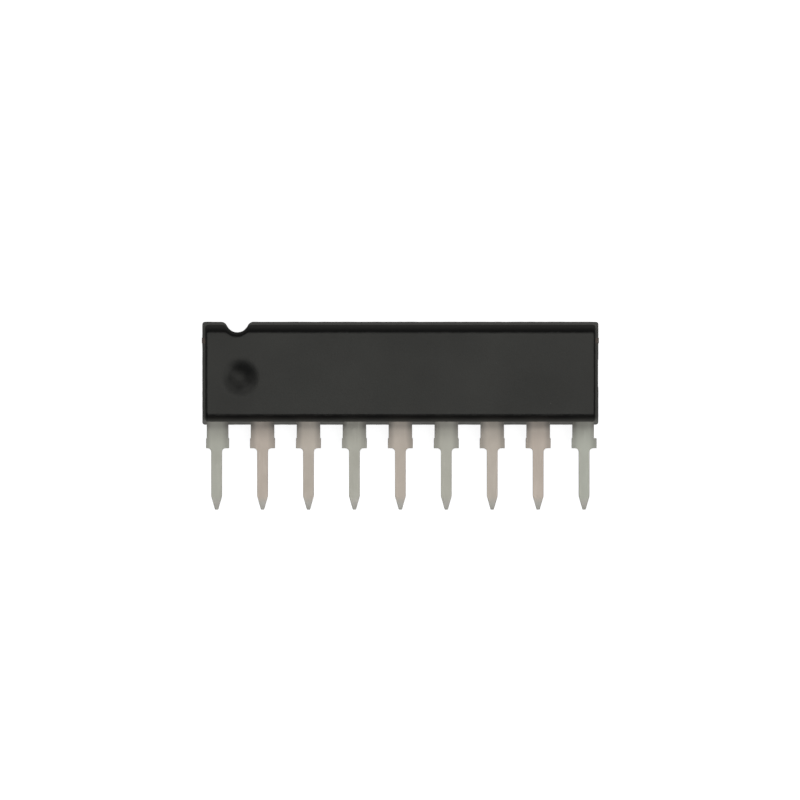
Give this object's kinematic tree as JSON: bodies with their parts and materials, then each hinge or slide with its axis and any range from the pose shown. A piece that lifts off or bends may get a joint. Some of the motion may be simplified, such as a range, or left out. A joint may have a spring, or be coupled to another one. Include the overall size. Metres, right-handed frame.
{
  "type": "sip integrated circuit chip",
  "caption": "Single in-line chip: a flat black epoxy body with a notch and a round mark at one end, and one row of flat tinned leads.",
  "frame": {"origin": "under the middle of the outline, body and leads together, on the surface that the rear face lies on", "axes": "+X along the body from lead 1 at the notched end to lead 9, +Y from the lead tips to the body's notched top edge, +Z out of the front face"},
  "size_m": [0.022, 0.0104, 0.0028],
  "materials": {
    "moulding_compound": "fine spark-eroded grain, dark grey-black",
    "tin_plate": "dull tin plating, warm light grey",
    "frame_copper": "rolled copper alloy",
    "silver_adhesive": "cured silver-filled paste",
    "silicon": "polished, with a fine circuit pattern",
    "gold": "drawn gold wire"
  },
  "bodies": {
    "root": {"epoxy_body": "moulding_compound", "lead_1": "tin_plate", "lead_2": "tin_plate", "lead_3": "tin_plate", "lead_4": "tin_plate", "lead_5": "tin_plate", "lead_6": "tin_plate", "lead_7": "tin_plate", "lead_8": "tin_plate", "lead_9": "tin_plate", "die_pad": "frame_copper", "die_attach": "silver_adhesive", "silicon_die": "silicon", "bond_wire_1": "gold", "bond_wire_2": "gold", "bond_wire_3": "gold", "bond_wire_4": "gold", "bond_wire_5": "gold", "bond_wire_6": "gold", "bond_wire_7": "gold", "bond_wire_8": "gold", "bond_wire_9": "gold"}
  },
  "joints": []
}
